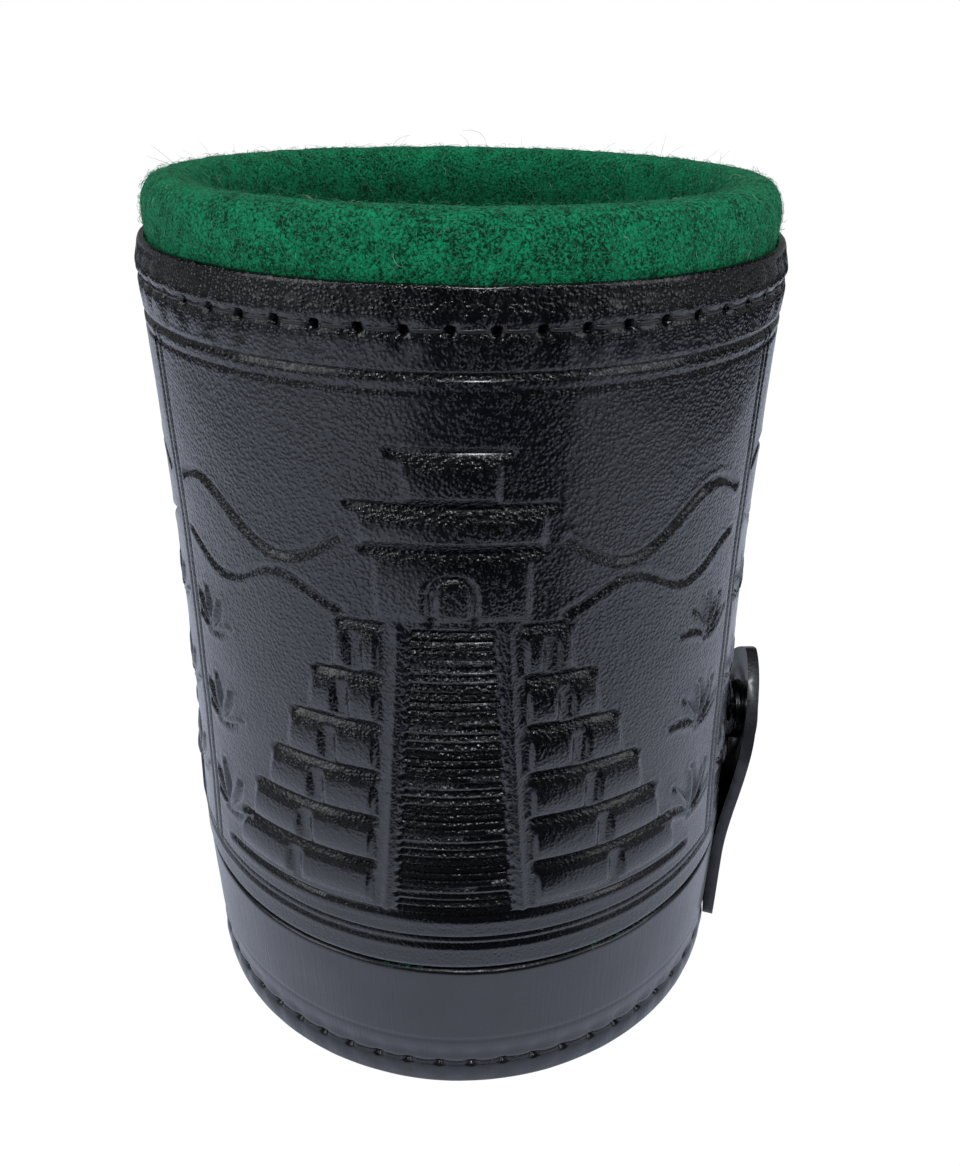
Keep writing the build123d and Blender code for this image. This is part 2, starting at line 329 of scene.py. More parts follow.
def inside(corners, s, z):
    """Which (s, z) lie inside a polygon."""
    hit = np.zeros(s.shape, bool)
    for a, b in zip(corners, np.roll(corners, -1, axis=0)):
        crosses = (a[1] > z) != (b[1] > z)
        at = a[0] + (z - a[1]) / (b[1] - a[1] + 1e-12) * (b[0] - a[0])
        hit ^= crosses & (s < at)
    return hit


print("a corner of three points becomes", len(smooth_line(np.zeros((3, 2)))), "points")

# %% [markdown]
# The pressed lines, the raised ones and the stone faces are added up into one height. The borders are
# ruled lines in pairs round each panel, as a wheel makes them.

# %% Picture and borders as a height
def relief(s, z):
    """Height in mm of the embossed picture above the plain leather, at arc s from the panel's middle line."""
    channels = np.zeros(s.shape)
    lips = np.zeros(s.shape)
    ridges = np.zeros(s.shape)
    for points, width, depth in LINES:
        gap = distance_to(smooth_line(points), s, z)
        t = gap / (0.55 * width + 0.17)
        if depth > 0:
            channels = np.minimum(channels, -1.3 * depth * np.exp(-t ** 2))
            lips = np.maximum(lips, 0.05 * np.exp(-((gap - 1.1) / 0.5) ** 2))
        else:
            ridges = np.maximum(ridges, -1.2 * depth * np.exp(-t ** 2))
    faces = np.zeros(s.shape)
    for corners, foot, head in PLATES:
        low, high = corners[:, 1].min(), corners[:, 1].max()
        share = np.clip((z - low) / (high - low), 0, 1)
        pillow = 4 * share * (1 - share)
        rim = ease(distance_to(np.vstack([corners, corners[:1]]), s, z) / 0.9)
        swell = rim * (foot * (1 - share) + 1.6 * (foot + head) * pillow)
        faces = np.maximum(faces, np.where(inside(corners, s, z), 1.3 * swell, 0))
    return channels + lips * (channels > -0.05) + ridges + faces


def borders(s, z):
    """Paired lines that frame each panel: s runs from the panel's middle line, between its two edges."""
    half = PANEL_WIDTH / 2
    height = np.zeros(s.shape)
    for level, width, depth in [(105.0, 0.62, 0.38), (103.4, 0.34, 0.2),
                                (29.8, 0.34, 0.22), (28.5, 0.6, 0.38)]:
        t = np.clip(np.abs(z - level) / (0.5 * width + 0.25), 0, 1)
        height = np.minimum(height, -depth * (1 - t ** 2) ** 2)
        height += 0.05 * np.exp(-((np.abs(z - level) - 0.5 * width - 0.45) / 0.3) ** 2)
    upright = (z > 28.5) & (z < 105)
    for edge in (-half + 0.9, half - 0.9):
        t = np.clip(np.abs(s - edge) / 0.5, 0, 1)
        height = np.where(upright, np.minimum(height, -0.4 * (1 - t ** 2) ** 2), height)
    return height


print("depth of the upper border line", round(float(borders(np.zeros(1), np.array([105.0]))[0]), 2), "mm")

# %% [markdown]
# The wrapper is one sheet on the real cup, with three equal pressed panels round it. Here each panel is a
# piece of its own, which keeps the meshes small, and their edges meet in the smooth strips between the
# panels. The closed path of the sheet, up the outside, over the cut edge and down the inside, is laid out
# first as rows of a grid.

# %% Rows of the wrapper: outer face, cut edge, inner face
TOP_HOLES = 56
BASE_HOLES = 58


def seam(angle, z, level, count, radius, depth, gather):
    """A sewn channel: a groove that every hole pulls deeper, with the leather rising between the holes."""
    arc = 2 * math.pi * radius / count
    phase = (angle - 90) * count / 360 % 1
    from_hole = np.minimum(phase, 1 - phase) * arc
    gap = np.abs(z - level)
    groove = -depth * np.exp(-(gap / 0.55) ** 2)
    pull = -gather * np.exp(-(from_hole / 1.0) ** 2) * np.exp(-(gap / 2.2) ** 2)
    puff = 0.6 * gather * np.exp(-((arc / 2 - from_hole) / 1.4) ** 2) * np.exp(-((gap - 1.6) / 1.3) ** 2)
    hole = -0.9 * np.exp(-(from_hole / 0.42) ** 4) * np.exp(-(gap / 0.42) ** 4)
    return groove + pull + puff + hole


def back_seam(angle, z):
    """The wrapper's two ends lap at the back, and the lap is sewn in a shallow channel."""
    arc = np.radians((angle + 360) % 360 - 180) * wall(z)
    lap = 0.34 * ease((arc + 14) / 10) * (1 - ease((arc - 2.3) / 0.35))
    return lap - 0.45 * np.exp(-(arc / 0.55) ** 2)


def top_hem(angle, z):
    return seam(angle, z, TOP_SEAM, TOP_HOLES, 41.3, 0.32, 0.14)


outer_z = np.linspace(CUP_LOW + 0.55, LEATHER_TOP - 0.85, 290)
turn = np.radians(np.linspace(0, 90, 5)[1:])
top_depth = np.concatenate([0.85 - 0.85 * np.cos(turn), [1.1], 1.25 + 0.5 * np.sin(turn)])
top_z = np.concatenate([LEATHER_TOP - 0.85 + 0.85 * np.sin(turn), [LEATHER_TOP],
                        LEATHER_TOP - 0.5 + 0.5 * np.cos(turn)])
inner_z = np.linspace(LEATHER_TOP - 1, CUP_LOW + 1, 12)
foot_depth = np.array([1.75, 1.3, 0.55, 0.16, 0.0])
foot_z = CUP_LOW + np.array([0.4, 0.0, 0.0, 0.16, 0.55])
PATH_DEPTH = np.concatenate([0 * outer_z, top_depth, 0 * inner_z + 1.75, foot_depth])
PATH_Z = np.concatenate([outer_z, top_z, inner_z, foot_z])
ROWS = len(PATH_Z) - 1
COLUMNS = 296
print(ROWS, "rows round the sheet, on its outer face every", round(float(outer_z[1] - outer_z[0]), 2), "mm")

# %% [markdown]
# The snap is set after the pressing, and its parts flatten the leather round them, so the picture fades
# out there.

# %% The three embossed panels
snap_low, snap_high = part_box("snap_stud")
snap_z = 500 * (snap_low[2] + snap_high[2])
print("the snap's middle is", round(snap_z, 1), "mm up")


def panel_piece(name, middle):
    """One third of the wrapper, its picture centred on an angle, as a closed piece."""
    def place(column, row):
        across = (column / COLUMNS - 0.5) * PANEL_WIDTH
        angle = middle + (column / COLUMNS - 0.5) * 120
        z = PATH_Z[row]
        face = np.where(PATH_DEPTH[row] < 0.5, 1 - PATH_DEPTH[row] / 0.5, 0)
        picture = np.zeros(z.shape)
        drawn = face > 0
        inner = ease((PANEL_WIDTH / 2 - 1.7 - np.abs(across)) / 0.6)
        picture[drawn] = relief((across + PANEL_MIDDLE)[drawn], z[drawn])
        from_snap = np.hypot(np.radians(angle - 90) * 41, z - snap_z)
        height = picture * inner * ease((z - 30.6) / 0.7) * ease((102.6 - z) / 0.7)
        height = height * ease((from_snap - 6.5) / 2.5)
        height = height + borders(across, z) + top_hem(angle, z) + back_seam(angle, z)
        plain = polar(wall(z), angle, z)
        height += 0.09 * noise(plain, 17, 3) + 0.05 * noise(plain, 6, 4) + 0.012 * noise(plain, 1.1, 5)
        edge = 0.1 * noise(plain * [1, 1, 0], 5, 6) * (PATH_DEPTH[row] > 0) * (z > 60)
        drawn_in = 0.75 * ease((z - 109.6) / 3.6) * (1 - PATH_DEPTH[row] / 1.75)
        return polar(wall(z) - PATH_DEPTH[row] - drawn_in + height * face, angle, z + edge)
    return bent_grid(name, COLUMNS, ROWS, place)


PANEL_TURN = math.degrees(PANEL_MIDDLE / 41.0)
panels = [panel_piece(f"embossed_panel_{side}", PANEL_TURN + 120 * i)
          for i, side in enumerate(("front", "strap_side", "hinge_side"))]
print("triangles in a panel:", sum(len(face.vertices) - 2 for face in panels[0].data.polygons))

# %% [markdown]
# The lid is a smooth band of the same leather. Its seam near the foot is pulled so tight that the leather
# puffs out between the holes, and below it the edge is left as a rounded lip. The band is a full ring, so
# its grid closes on itself and the meeting columns are welded.

# %% Lid band
def lid_face(angle, z):
    """Height of the lid's outer face above its plain wall."""
    height = seam(angle, z, BASE_SEAM, BASE_HOLES, 42.7, 0.3, 0.14)
    height += 0.12 * np.exp(-((z - 1.9) / 1.5) ** 2)
    height -= 0.2 * np.exp(-((z - 6.2) / 1.5) ** 2)
    height -= 0.06 * np.exp(-((z - 9.5) / 0.35) ** 2)
    return height


def ring_path(low, high, spacing, thickness, rounding, inner_rows=8):
    """Rows of a closed band: up the outside, over the top edge, down the inside and round the foot."""
    face = np.linspace(low + rounding, high - rounding, int((high - low) / spacing))
    arc = np.radians(np.linspace(0, 90, 5)[1:])
    over = 1.7 * rounding * (1 - np.cos(arc))
    rise = rounding * np.sin(arc)
    inside_z = np.linspace(high - 0.5, low + 0.5, inner_rows)
    depth = np.concatenate([0 * face, over, [thickness - 0.3], 0 * inside_z + thickness, [thickness - 0.3],
                            over[::-1], [0]])
    z = np.concatenate([face, high - rounding + rise, [high - 0.06], inside_z, [low + 0.06],
                        low + rounding - rise[::-1], [low + rounding]])
    return depth, z


lid_depth, lid_z = ring_path(0.05, LID_TOP, 0.3, 1.75, 0.6)
LID_COLUMNS = 696


def place_lid(column, row):
    angle = column * 360 / LID_COLUMNS
    z = lid_z[row]
    face = np.clip(1 - lid_depth[row] / 0.6, 0, 1)
    plain = polar(lid_wall(z), angle, z)
    height = lid_face(angle, z) + 0.1 * noise(plain, 19, 11) + 0.05 * noise(plain, 5, 12)
    top = 0.09 * noise(plain * [1, 1, 0], 2.2, 13) * (z > LID_TOP - 0.7)
    return polar(lid_wall(z) - lid_depth[row] + height * face, angle, z + top)


lid_band = bent_grid("lid_band", LID_COLUMNS, len(lid_z) - 1, place_lid)
print("lid band:", len(lid_band.data.polygons), "faces")

# %% [markdown]
# Turned parts, such as the dish under the lid, the pads and the lining, start as the outline of their
# section. A helper walks along the outline in even steps and sweeps it round the axis, and a soft surface
# is then roughened along its own normals.

# %% Turned parts
def even_steps(points, spacing):
    """Points along a polyline at even steps."""
    points = np.array(points, float)
    length = np.concatenate([[0], np.cumsum(np.hypot(*np.diff(points, axis=0).T))])
    count = max(2, int(round(length[-1] / spacing)))
    at = np.linspace(0, length[-1], count + 1)
    return np.stack([np.interp(at, length, points[:, i]) for i in (0, 1)], axis=1)


def corner(r, z, radius, start, end, steps=5):
    """Points on a rounded corner of an outline, from one direction to another, in degrees."""
    turn = np.radians(np.linspace(start, end, steps))
    return [(r + radius * math.cos(t), z + radius * math.sin(t)) for t in turn]


def turned(name, outline, columns, lumps=0.0, nap=0.0, seed=1, angle=40):
    """Sweep an outline of (radius, height) round the axis; roughen it where it is felt."""
    outline = np.array(outline, float)

    def place(column, row):
        return polar(outline[row, 0], column * 360 / columns, outline[row, 1])
    piece = bent_grid(name, columns, len(outline) - 1, place, angle=angle)
    if lumps or nap:
        points = read_points(piece) / MM
        normals = np.empty(len(points) * 3)
        piece.data.vertices.foreach_get("normal", normals)
        rise = lumps * noise(points, 3.1, seed) + 0.6 * lumps * noise(points, 1.3, seed + 1)
        rise += nap * noise(points, 0.55, seed + 2)
        write_points(piece, (points + normals.reshape(-1, 3) * rise[:, None]) * MM)
    return piece


dish_outline = ([(0, 0.02), (30, 0.02)] + corner(38.0, 2.62, 2.6, -90, 0, 7) + [(40.6, 5)]
                + corner(40.2, 7.6, 0.4, 0, 90, 4) + corner(39.2, 7.6, 0.4, 90, 180, 4) + [(38.8, 5)]
                + corner(38.0, 2.6, 0.8, 0, -90, 5) + [(30, 1.8), (0, 1.8)])
base_dish = turned("base_dish", dish_outline, 144)
print("base dish:", len(base_dish.data.polygons), "faces")

# %% [markdown]
# The lining is one length of thick wool felt, folded double over the rim. Its outline runs from behind
# the leather over the soft roll and down inside. Felt has no weave: its surface is lumpy at a few
# millimetres and fuzzy at less than one, so it gets both as real displacement.

# %% Felt lining
def smooth_through(points):
    """A rounded path near a list of points, by cutting its corners."""
    points = np.array(points, float)
    for _ in range(3):
        cut = np.empty((2 * len(points), 2))
        cut[0], cut[-1] = points[0], points[-1]
        cut[1:-1:2] = 0.75 * points[:-1] + 0.25 * points[1:]
        cut[2:-1:2] = 0.25 * points[:-1] + 0.75 * points[1:]
        points = cut
    return points


fold_r = float(wall(LEATHER_TOP)) - 2.05
inner_r = float(wall(103.0)) - 6.95
roll = smooth_through([(fold_r - 0.1, 105), (fold_r, 112.6), (fold_r + 0.28, 115), (fold_r + 0.25, 117.4),
                       (fold_r - 0.9, 119.7), (fold_r - 3.2, 120.1), (fold_r - 5.4, 119.6),
                       (fold_r - 6.5, 117), (fold_r - 6.4, 113.6), (fold_r - 6.0, 109.6),
                       (inner_r + 0.1, 106.2), (inner_r, 103)])
inside_wall = [(float(wall(z)) - 6.95, z) for z in np.linspace(102, 27.2, 40)]
behind = [(float(wall(z)) - 3.75, z) for z in np.linspace(27.0, 104.4, 30)]
front_rows = even_steps(np.vstack([roll, inside_wall]), 0.62)
lining_outline = np.vstack([front_rows, even_steps([inside_wall[-1], behind[0]], 1.1)[1:],
                            even_steps(behind, 4.0)[1:], [(fold_r - 1.6, 104.6)], front_rows[:1]])
lining = turned("felt_lining_soft", lining_outline, 420, 0.06, 0.1, 21, angle=80)
print("lining:", len(lining.data.polygons), "faces, its fold", round(fold_r, 1), "mm from the axis")

# %% [markdown]
# The four pads are felt too: the cup's floor, and the ceiling, floor and wall of the dice compartment.
# Each is turned from a soft-cornered outline, and is padded, not flat, because cut felt rounds over at
# its edges.

# %% Felt pads
def pad_outline(radius, low, high, soft=0.7, hole=0.0):
    """A felt disc, or a ring where it has a hole, with softly rounded edges."""
    edge = corner(radius - soft, low + soft, soft, -90, 0, 4)
    edge += corner(radius - soft, high - soft, soft, 0, 90, 4)
    if hole:
        edge += corner(hole + soft, high - soft, soft, 90, 180, 4)
        edge += corner(hole + soft, low + soft, soft, 180, 270, 4)
        return even_steps(edge + edge[:1], 0.8)
    return even_steps([(0, low)] + edge + [(0, high)], 0.8)


floor_pad = turned("floor_pad", pad_outline(34.9, 27.0, 29.9), 260, 0.14, 0.08, 31, angle=80)
ceiling_pad = turned("ceiling_pad", pad_outline(39.9, 22.1, 24.3), 260, 0.08, 0.05, 41, angle=80)
dice_floor_pad = turned("dice_floor_pad", pad_outline(38.5, 3.4, 5.6), 260, 0.1, 0.06, 51, angle=80)
dice_wall_pad = turned("dice_wall_pad", pad_outline(38.5, 5.8, 21.6, 0.7, 36.3), 300, 0.1, 0.06, 61, angle=80)
for pad in (floor_pad, ceiling_pad, dice_floor_pad, dice_wall_pad):
    print(pad.name, len(pad.data.polygons), "faces")

# %% [markdown]
# What makes wool felt read as felt is its stray fibres. Each is a thin three-sided tube bent along a
# short random curve that starts in the felt and mostly stays close to it. Thousands of them share one
# mesh, so each is kept to two dozen faces.

# %% Stray fibres
def fibres(name, roots, normals, count, length, lift, seed, thick=0.018):
    """Curly fibres that start at random roots and run along the surface, some rising off it."""
    dice = np.random.default_rng(seed)
    pick = dice.integers(0, len(roots), count)
    start, up = roots[pick], normals[pick]
    side = np.cross(up, dice.normal(size=(count, 3)))
    side /= np.linalg.norm(side, axis=1, keepdims=True)
    turn = np.cross(up, side)
    reach = dice.uniform(*length, size=(count, 1))
    curl = dice.normal(0, 1.1, size=(count, 1))
    rise = lift * dice.gamma(1.6, 0.45, size=(count, 1))
    t = np.linspace(0, 1, 6)[None, :, None]
    swing = curl[:, None] * t
    path = (start[:, None] - 0.05 * up[:, None] + reach[:, None] * t * (side[:, None] * np.cos(swing)
            + turn[:, None] * np.sin(swing)) * 0.8
            + rise[:, None] * np.sin(math.pi * t * dice.uniform(0.55, 1.0, size=(count, 1, 1))) * up[:, None])
    along = np.gradient(path, axis=1)
    along /= np.linalg.norm(along, axis=2, keepdims=True) + 1e-9
    first = np.cross(along, up[:, None])
    first /= np.linalg.norm(first, axis=2, keepdims=True) + 1e-9
    second = np.cross(along, first)
    thinning = np.array([1, 1, 1, 0.9, 0.75, 0.4])[None, :, None]
    taper = thick * dice.uniform(0.7, 1.3, size=(count, 1, 1)) * thinning
    rings = np.stack([path + taper * (math.cos(a) * first + math.sin(a) * second)
                      for a in (0, 2.0944, 4.1888)], axis=2)
    base = (np.arange(count) * 18)[:, None, None]
    ring = (3 * np.arange(5))[None, :, None]
    k = np.arange(3)[None, None, :]
    nxt = (k + 1) % 3
    quads = np.stack([base + ring + k, base + ring + nxt,
                      base + ring + 3 + nxt, base + ring + 3 + k], axis=-1)
    ends = np.concatenate([(base[:, 0] + np.array([2, 1, 0])), (base[:, 0] + np.array([15, 16, 17]))])
    mesh = bpy.data.meshes.new(name)
    mesh.from_pydata((rings.reshape(-1, 3) * MM).tolist(), [], quads.reshape(-1, 4).tolist() + ends.tolist())
    tone = mesh.attributes.new("tone", "FLOAT", "POINT")
    tone.data.foreach_set("value", np.repeat(dice.uniform(0, 1, count), 18))
    piece = bpy.data.objects.new(name, mesh)
    bpy.context.collection.objects.link(piece)
    make_active(piece)
    bpy.ops.object.mode_set(mode="EDIT")
    bpy.ops.mesh.select_all(action="SELECT")
    bpy.ops.mesh.normals_make_consistent(inside=False)
    bpy.ops.object.mode_set(mode="OBJECT")
    bpy.ops.object.shade_smooth()
    return piece


print("one fibre has", 3 * 5 + 2, "faces")

# %% [markdown]
# Fibres start where the felt is open to the air: on the rim, down the inside wall, on the pads, and a
# little in the joint between cup and lid. The long strays on the rim's edge are few.

# %% Fibres on each piece of felt
def surface_of(piece, keep):
    """Points and normals of a piece where keep(points) holds, in millimetres."""
    points = read_points(piece) / MM
    normals = np.empty(len(points) * 3)
    piece.data.vertices.foreach_get("normal", normals)
    chosen = keep(points)
    return points[chosen], normals.reshape(-1, 3)[chosen]


rim_roots = surface_of(lining, lambda p: (p[:, 2] > 113) & (np.hypot(p[:, 0], p[:, 1]) > 32.5))
rim_fuzz = fibres("rim_fuzz", *rim_roots, 7400, (0.5, 2.0), 0.26, 71, 0.02)
edge_roots = surface_of(lining, lambda p: (p[:, 2] > 118.2) & (np.hypot(p[:, 0], p[:, 1]) < 34.8))
edge_strays = fibres("edge_strays", *edge_roots, 110, (2.5, 7.0), 0.7, 78, 0.02)
wall_roots = surface_of(
    lining, lambda p: (p[:, 2] > 30) & (p[:, 2] < 114) & (np.hypot(p[:, 0], p[:, 1]) < 35.6))
wall_fuzz = fibres("wall_fuzz", *wall_roots, 6000, (0.8, 3.0), 0.3, 72)
floor_roots = surface_of(floor_pad, lambda p: p[:, 2] > 29.5)
floor_fuzz = fibres("floor_fuzz", *floor_roots, 900, (0.8, 3.0), 0.3, 73)
dice_roots = surface_of(dice_floor_pad, lambda p: p[:, 2] > 5.2)
dice_fuzz = fibres("dice_floor_fuzz", *dice_roots, 900, (0.8, 3.0), 0.25, 74)
ceiling_roots = surface_of(ceiling_pad, lambda p: p[:, 2] < 22.6)
ceiling_fuzz = fibres("ceiling_fuzz", *ceiling_roots, 900, (0.8, 2.6), 0.2, 75)


def joint_wool():
    """Wool that has worked out of the joint between cup and lid in two places at the front."""
    dice = np.random.default_rng(76)
    angle = np.concatenate([dice.uniform(-14, -6, 40), dice.uniform(20, 41, 60), dice.uniform(140, 220, 60)])
    roots = polar(dice.uniform(40.4, 42.3, len(angle)), angle, dice.uniform(23.85, 24.15, len(angle)))
    normals = polar(0 * angle + 1, angle, 0 * angle)
    return fibres("joint_wool", roots, normals, 420, (0.5, 1.6), 0.5, 77)


joint_fuzz = joint_wool()
FUZZ = [(rim_fuzz, "cup"), (edge_strays, "cup"), (wall_fuzz, "cup"), (floor_fuzz, "cup"),
        (ceiling_fuzz, "cup"), (joint_fuzz, "cup"), (dice_fuzz, "lid")]
print("fibres:", sum(len(piece.data.vertices) for piece, _ in FUZZ) // 18)

# %% [markdown]
# The thread is waxed and twisted. One stitch is modelled: a grid is rolled into a tube whose sides are
# pressed into two plies, and its ends turn down into the leather.

# %% One stitch
def stitch_mesh():
    """A stitch along X, its outer side towards +Z, its ends dipping into the holes."""
    clear_selection()
    bpy.ops.mesh.primitive_grid_add(x_subdivisions=12, y_subdivisions=8, size=1)
    piece = bpy.context.object
    piece.name = "stitch"
    flat = read_points(piece) + 0.5
    along, around = flat[:, 0], 2 * math.pi * flat[:, 1]
    end = np.abs(2 * along - 1)
    radius = 0.28 * (1 + 0.13 * np.cos(2 * (around - 5.2 * along))) * (1 - 0.25 * end ** 6)
    x = (along - 0.5) * 3.95
    dip = -0.75 * np.clip((end - 0.55) / 0.45, 0, 1) ** 2
    height = 0.9 * radius * np.sin(around) + dip
    write_points(piece, np.stack([x, radius * np.cos(around), height], axis=1) * MM)
    return tidy_mesh(piece, angle=60)


STITCH = stitch_mesh()
print("one stitch:", len(STITCH.data.polygons), "faces")

# %% [markdown]
# The stitch is copied to each place in the seams, and each row is then joined into one piece.

# %% Rows of stitches
def stitch_row(name, places):
    """Copies of the stitch, each at (point, direction along, direction out), joined into one piece."""
    copies = []
    for point, along, out in places:
        along, out = Vector(along).normalized(), Vector(out).normalized()
        side = out.cross(along).normalized()
        out = along.cross(side)
        turn = Matrix((along, side, out)).transposed().to_4x4()
        copy = STITCH.copy()
        copy.data = STITCH.data.copy()
        copy.data.transform(Matrix.Translation(Vector(point) * MM) @ turn)
        bpy.context.collection.objects.link(copy)
        copies.append(copy)
    clear_selection()
    for copy in copies:
        copy.select_set(True)
    bpy.context.view_layer.objects.active = copies[0]
    bpy.ops.object.join()
    row = bpy.context.object
    row.name = row.data.name = name
    return row


def round_places(radius, z, count, keep=lambda angle: True):
    """Places of stitches in a row round the axis, sunk a little into their channel."""
    places = []
    for i in range(count):
        angle = 90 + (180 + 360 * i) / count
        if keep(abs((angle - 90 + 180) % 360 - 180)):
            out = polar(1.0, angle, 0.0)
            places.append((polar(radius, angle, z), (-out[1], out[0], 0), out))
    return places


UNDER_STRAP = math.degrees(math.asin(12 / 44.764))
top_thread = stitch_row("top_seam_stitches", round_places(float(wall(TOP_SEAM)) - 0.4, TOP_SEAM, TOP_HOLES))
base_thread = stitch_row("base_seam_stitches", round_places(
    float(lid_wall(BASE_SEAM)) - 0.4, BASE_SEAM, BASE_HOLES, lambda off: off >= UNDER_STRAP + 1.5))
back_rise = LEATHER_TOP - CUP_LOW - 18
back_places = [(polar(float(wall(z)) - 0.3, 180, z), (0, 0, 1), (0, 1, 0))
               for z in CUP_LOW + 9 + back_rise * (np.arange(15) + 0.5) / 15]
back_thread = stitch_row("back_seam_stitches", back_places)
print("stitches:", len(top_thread.data.vertices) // len(STITCH.data.vertices), "at the top,",
      len(base_thread.data.vertices) // len(STITCH.data.vertices), "at the foot")

# %% [markdown]
# The closing strap is a blank with round corners and a round end, bent to the cup's curve. It leans out
# above the lid, where the snap needs room. A grid gives its outer face, Solidify gives it the leather's
# thickness and Bevel eases its cut edges. Because it crosses the fold, it is one piece.

# %% Shape of the closing strap
def strap_face(z):
    """Outer radius of the strap at height z."""
    return 44.764 + 2.1 * ease((z - 16) / 24)


STRAP_LOW, STRAP_TOP, HALF_STRAP = 1.6, 49.6, 12.0


def strap_half_width(z):
    share = np.clip((z - (STRAP_TOP - 15)) / 15, 0, 1)
    round_end = HALF_STRAP * np.clip(1 - share ** 1.7, 0.0002, None) ** 0.72
    low = np.clip(STRAP_LOW + 2.5 - z, 0, 2.5)
    return np.minimum(round_end, HALF_STRAP - 2.5 + np.sqrt(np.clip(6.25 - low ** 2, 0, None)))


end_turn = np.radians(np.linspace(0, 90, 30))
strap_z = np.concatenate([STRAP_LOW + 2.5 - 2.5 * np.cos(np.radians(np.linspace(0, 80, 9))),
                          np.linspace(4.5, 34.2, 76), STRAP_TOP - 15 + 15 * np.sin(end_turn)])
STRAP_COLUMNS = 60


def strap_relief(across, z):
    """Height of the strap's face: two sewn rows near its root and a bruise round the snap."""
    angle = 90 + np.degrees(across / strap_face(z))
    sewn = np.zeros(z.shape)
    for level in (4.3, 18.0):
        fade = ease((9.6 - np.abs(across)) / 1.2)
        sewn = np.minimum(sewn, fade * seam(angle, z, level, BASE_HOLES, 44.8, 0.34, 0.16))
    from_snap = np.hypot(across, z - 38)
    bruise = -0.22 * np.exp(-((from_snap - 6.2) / 1.1) ** 2)
    edge = HALF_STRAP - np.abs(across)
    return sewn + bruise - 0.12 * np.exp(-np.clip(edge, 0, None) / 0.7)


def place_strap(column, row):
    z = strap_z[row]
    across = (2 * column / STRAP_COLUMNS - 1) * strap_half_width(z)
    angle = 90 + np.degrees(across / strap_face(z))
    plain = polar(strap_face(z), angle, z)
    height = strap_relief(across, z) + 0.06 * noise(plain, 9, 81) - 0.04
    return polar(strap_face(z) + height, angle, z)


print("strap:", STRAP_TOP - STRAP_LOW, "mm tall and", 2 * HALF_STRAP, "mm wide")

# %% [markdown]
# Two helpers turn such a face into leather: one lays the open sheet, and one thickens it inward and eases
# its cut edges. They serve the strap first and then the hinge.

# %% Strap from its face
def skin_to_leather(piece, thickness, bevel=0.35):
    """Give a sheet its thickness inward, then ease its cut edges."""
    apply_modifier(piece, "SOLIDIFY", thickness=thickness * MM, offset=-1.0, use_even_offset=True)
    apply_modifier(piece, "BEVEL", width=bevel * MM, segments=3, limit_method="ANGLE",
                   angle_limit=math.radians(55))
    make_active(piece)
    bpy.ops.object.mode_set(mode="EDIT")
    bpy.ops.mesh.select_all(action="SELECT")
    bpy.ops.mesh.normals_make_consistent(inside=False)
    bpy.ops.object.mode_set(mode="OBJECT")
    bpy.ops.object.shade_smooth_by_angle(angle=math.radians(50))


def open_sheet(name, columns, rows, place):
    """A bent grid that stays open, for Solidify to thicken, facing away from the axis."""
    clear_selection()
    bpy.ops.mesh.primitive_grid_add(x_subdivisions=columns, y_subdivisions=rows, size=1)
    piece = bpy.context.object
    piece.name = piece.data.name = name
    flat = read_points(piece) + 0.5
    column = np.rint(flat[:, 0] * columns).astype(int)
    row = np.rint(flat[:, 1] * rows).astype(int)
    write_points(piece, place(column, row) * MM)
    facing = sum(face.normal.dot(Vector((face.center.x, face.center.y, 0)))
                 for face in piece.data.polygons)
    if facing < 0:
        make_active(piece)
        bpy.ops.object.mode_set(mode="EDIT")
        bpy.ops.mesh.select_all(action="SELECT")
        bpy.ops.mesh.flip_normals()
        bpy.ops.object.mode_set(mode="OBJECT")
    return piece


strap = open_sheet("strap_leather_band", STRAP_COLUMNS, len(strap_z) - 1, place_strap)
skin_to_leather(strap, LEATHER - 0.05)
strap_rows = []
for level in (4.3, 18.0):
    strap_rows += round_places(float(strap_face(level)) - 0.26, level, BASE_HOLES,
                               lambda off: off < UNDER_STRAP - 4)
strap_stitches = stitch_row("strap_stitches", strap_rows)
print("strap:", len(strap.data.polygons), "faces,", len(strap_rows), "stitches")

# %% [markdown]
# The hinge is a narrow strip of thinner leather behind, glued and sewn across the joint. It follows the
# wall of the cup above and of the lid below, with a slight swell over the joint, and is made as the strap
# is.

# %% Hinge strip
def hinge_face(z):
    share = ease((z - 22.5) / 3)
    return (1 - share) * lid_wall(z) + share * wall(z) + 1.12


HINGE_LOW, HINGE_TOP, HALF_HINGE = 9.1, 38.9, 5.9
hinge_z = np.linspace(HINGE_LOW, HINGE_TOP, 76)
HINGE_COLUMNS = 30


def place_hinge(column, row):
    z = hinge_z[row]
    from_end = np.minimum(z - HINGE_LOW, HINGE_TOP - z)
    half = HALF_HINGE - 2 + np.sqrt(np.clip(4 - np.clip(2 - from_end, 0, 2) ** 2, 0, None))
    across = (2 * column / HINGE_COLUMNS - 1) * half
    angle = 270 + np.degrees(across / hinge_face(z))
    pinch = -0.2 * np.exp(-((np.abs(across) - 3.8) / 0.5) ** 2) * (np.abs(z - 24) > 2)
    plain = polar(hinge_face(z), angle, z)
    return polar(hinge_face(z) + pinch + 0.04 * noise(plain, 5, 91), angle, z)


hinge = open_sheet("hinge_strip", HINGE_COLUMNS, len(hinge_z) - 1, place_hinge)
skin_to_leather(hinge, 0.95, 0.25)


def hinge_places(heights):
    places = []
    for z in heights:
        for side in (-1, 1):
            radius = float(hinge_face(z)) - 0.2
            angle = 270 + side * math.degrees(3.8 / radius)
            places.append((polar(radius, angle, z), (0, 0, 1), polar(1.0, angle, 0.0)))
    return places


